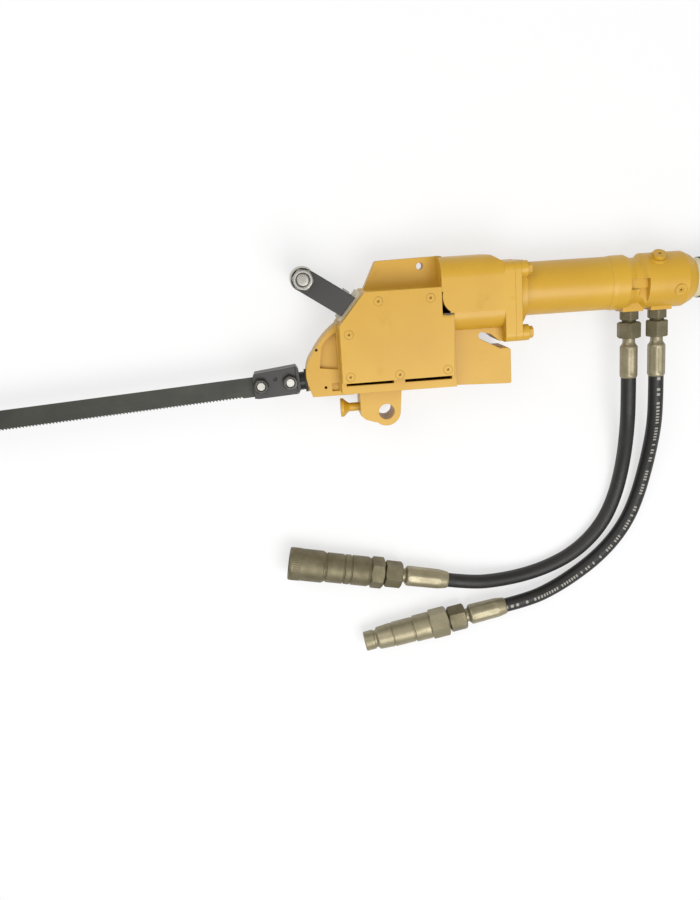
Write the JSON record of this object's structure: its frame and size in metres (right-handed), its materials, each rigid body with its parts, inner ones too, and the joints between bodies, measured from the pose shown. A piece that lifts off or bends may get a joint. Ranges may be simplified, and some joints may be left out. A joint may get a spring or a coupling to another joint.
{
  "type": "hydraulic reciprocating hacksaw",
  "caption": "Hydraulic hacksaw for rescue crews: long blade on a crank-driven ram, gearbox, motor tube, twist grip, stirrup handle and two hoses with quick couplers.",
  "frame": {"origin": "axis of the pivot bore in the lug, half way through the tool's thickness, with the tool lying on its right-hand side", "axes": "+X along the motor tube towards the rear grip, +Y towards the tool's top, +Z out of its left-hand side, along the pivot bore"},
  "size_m": [1.1386, 0.5382, 0.096],
  "materials": {
    "yellow_paint": "semi-gloss golden yellow enamel",
    "black_paint": "semi-matt black",
    "bright_steel": "plated steel",
    "gear_steel": "ground and oiled",
    "zinc_steel": "olive grey zinc plate",
    "blade_steel": "dark high-speed steel",
    "bronze": "turned bearing bronze",
    "black_rubber": "matt rubber",
    "aluminium": "machined",
    "pale_plastic": "moulded"
  },
  "bodies": {
    "frame": {"housing": "yellow_paint", "side_cover": "yellow_paint", "cover_screws": "yellow_paint", "ram_bush": "bronze", "ram_wiper": "black_rubber", "guide_rod": "bright_steel", "crank_bearing": "gear_steel", "shaft_bearings": "gear_steel", "motor_shaft_bearing": "gear_steel", "motor_front_plate": "aluminium", "motor_gear_case": "aluminium", "motor_rear_plate": "aluminium", "motor_flange": "yellow_paint", "flange_bolts": "bright_steel", "motor_tube": "yellow_paint", "oil_pipes": "bright_steel", "valve_block": "yellow_paint", "valve_plug": "yellow_paint", "relief_screw": "yellow_paint", "thrust_ring": "pale_plastic", "handle_pad": "pale_plastic", "handle_bracket": "black_paint", "handle_grip": "pale_plastic", "handle_bolt": "bright_steel", "handle_nuts": "bright_steel", "foot_screws": "bright_steel", "plunger_bush": "yellow_paint", "port_adapters": "zinc_steel", "hose_nuts": "zinc_steel", "hose_ends": "zinc_steel", "pressure_hose": "black_rubber", "return_hose": "black_rubber", "female_body": "zinc_steel", "male_body": "zinc_steel"},
    "ram": {"ram": "black_paint", "blade_holder": "black_paint", "clamp_plate": "black_paint", "clamp_bolts": "bright_steel", "clamp_nuts": "bright_steel", "locating_pin": "black_paint", "blade": "blade_steel"},
    "crank": {"crank_wheel": "gear_steel", "crank_pin": "bright_steel"},
    "die": {"die_block": "bronze"},
    "counter": {"spur_pinion": "gear_steel", "countershaft": "bright_steel", "bevel_gear": "gear_steel"},
    "motor_rotor": {"motor_shaft": "bright_steel", "bevel_pinion": "gear_steel", "motor_drive_gear": "gear_steel"},
    "motor_idler": {"motor_idler_gear": "gear_steel"},
    "twist_grip": {"grip_sleeve": "aluminium", "grip_rubber": "black_rubber", "spool": "bright_steel"},
    "plunger": {"lock_plunger": "yellow_paint"},
    "coupler_sleeve": {"female_sleeve": "zinc_steel"},
    "female_valve": {"female_poppet": "zinc_steel", "female_spring": "bright_steel"},
    "male_valve": {"male_poppet": "zinc_steel", "male_spring": "bright_steel"}
  },
  "joints": [
    {"name": "ram_slide", "type": "slide", "parent": "frame", "child": "ram", "axis": [0.9982, 0.06, 0], "range_m": [-0.04, 0]},
    {"name": "crank_turn", "type": "hinge", "parent": "frame", "child": "crank", "pos_m": [0.05127, 0.09455, 0], "axis": [0, 0, 1], "range_deg": [0, 180.5]},
    {"name": "die_turn", "type": "hinge", "parent": "crank", "child": "die", "pos_m": [0.07123, 0.09575, 0], "axis": [0, 0, 1], "range_deg": [-180.5, 0]},
    {"name": "countershaft_turn", "type": "hinge", "parent": "frame", "child": "counter", "pos_m": [0.09529, 0.141, 0], "axis": [0, 0, 1], "range_deg": [-541, 0]},
    {"name": "motor_turn", "type": "hinge", "parent": "frame", "child": "motor_rotor", "pos_m": [0.15, 0.141, 0], "axis": [1, 0, 0], "range_deg": [-812, 0]},
    {"name": "idler_turn", "type": "hinge", "parent": "frame", "child": "motor_idler", "pos_m": [0.213, 0.126, 0], "axis": [1, 0, 0], "range_deg": [0, 812]},
    {"name": "grip_twist", "type": "hinge", "parent": "frame", "child": "twist_grip", "pos_m": [0.44, 0.141, 0], "axis": [1, 0, 0], "range_deg": [0, 45], "stiffness_Nm_per_rad": 1.5, "springref_deg": -11.46},
    {"name": "plunger_slide", "type": "slide", "parent": "frame", "child": "plunger", "axis": [1, 0, 0], "range_m": [0, 0.007]},
    {"name": "sleeve_slide", "type": "slide", "parent": "frame", "child": "coupler_sleeve", "axis": [0.9801, -0.1987, 0], "range_m": [0, 0.005], "stiffness_N_per_m": 1500, "springref_m": -0.004},
    {"name": "female_valve_slide", "type": "slide", "parent": "frame", "child": "female_valve", "axis": [0.9801, -0.1987, 0], "range_m": [0, 0.004], "stiffness_N_per_m": 2000, "springref_m": -0.003},
    {"name": "male_valve_slide", "type": "slide", "parent": "frame", "child": "male_valve", "axis": [0.9845, 0.1755, 0], "range_m": [0, 0.004], "stiffness_N_per_m": 2000, "springref_m": -0.003}
  ],
  "couplings": [
    {"joint": "crank_turn", "follows": "ram_slide", "rad_per_m": -78.54},
    {"joint": "die_turn", "follows": "ram_slide", "rad_per_m": 78.54},
    {"joint": "countershaft_turn", "follows": "ram_slide", "rad_per_m": 235.62},
    {"joint": "motor_turn", "follows": "ram_slide", "rad_per_m": 353.43},
    {"joint": "idler_turn", "follows": "ram_slide", "rad_per_m": -353.43}
  ]
}
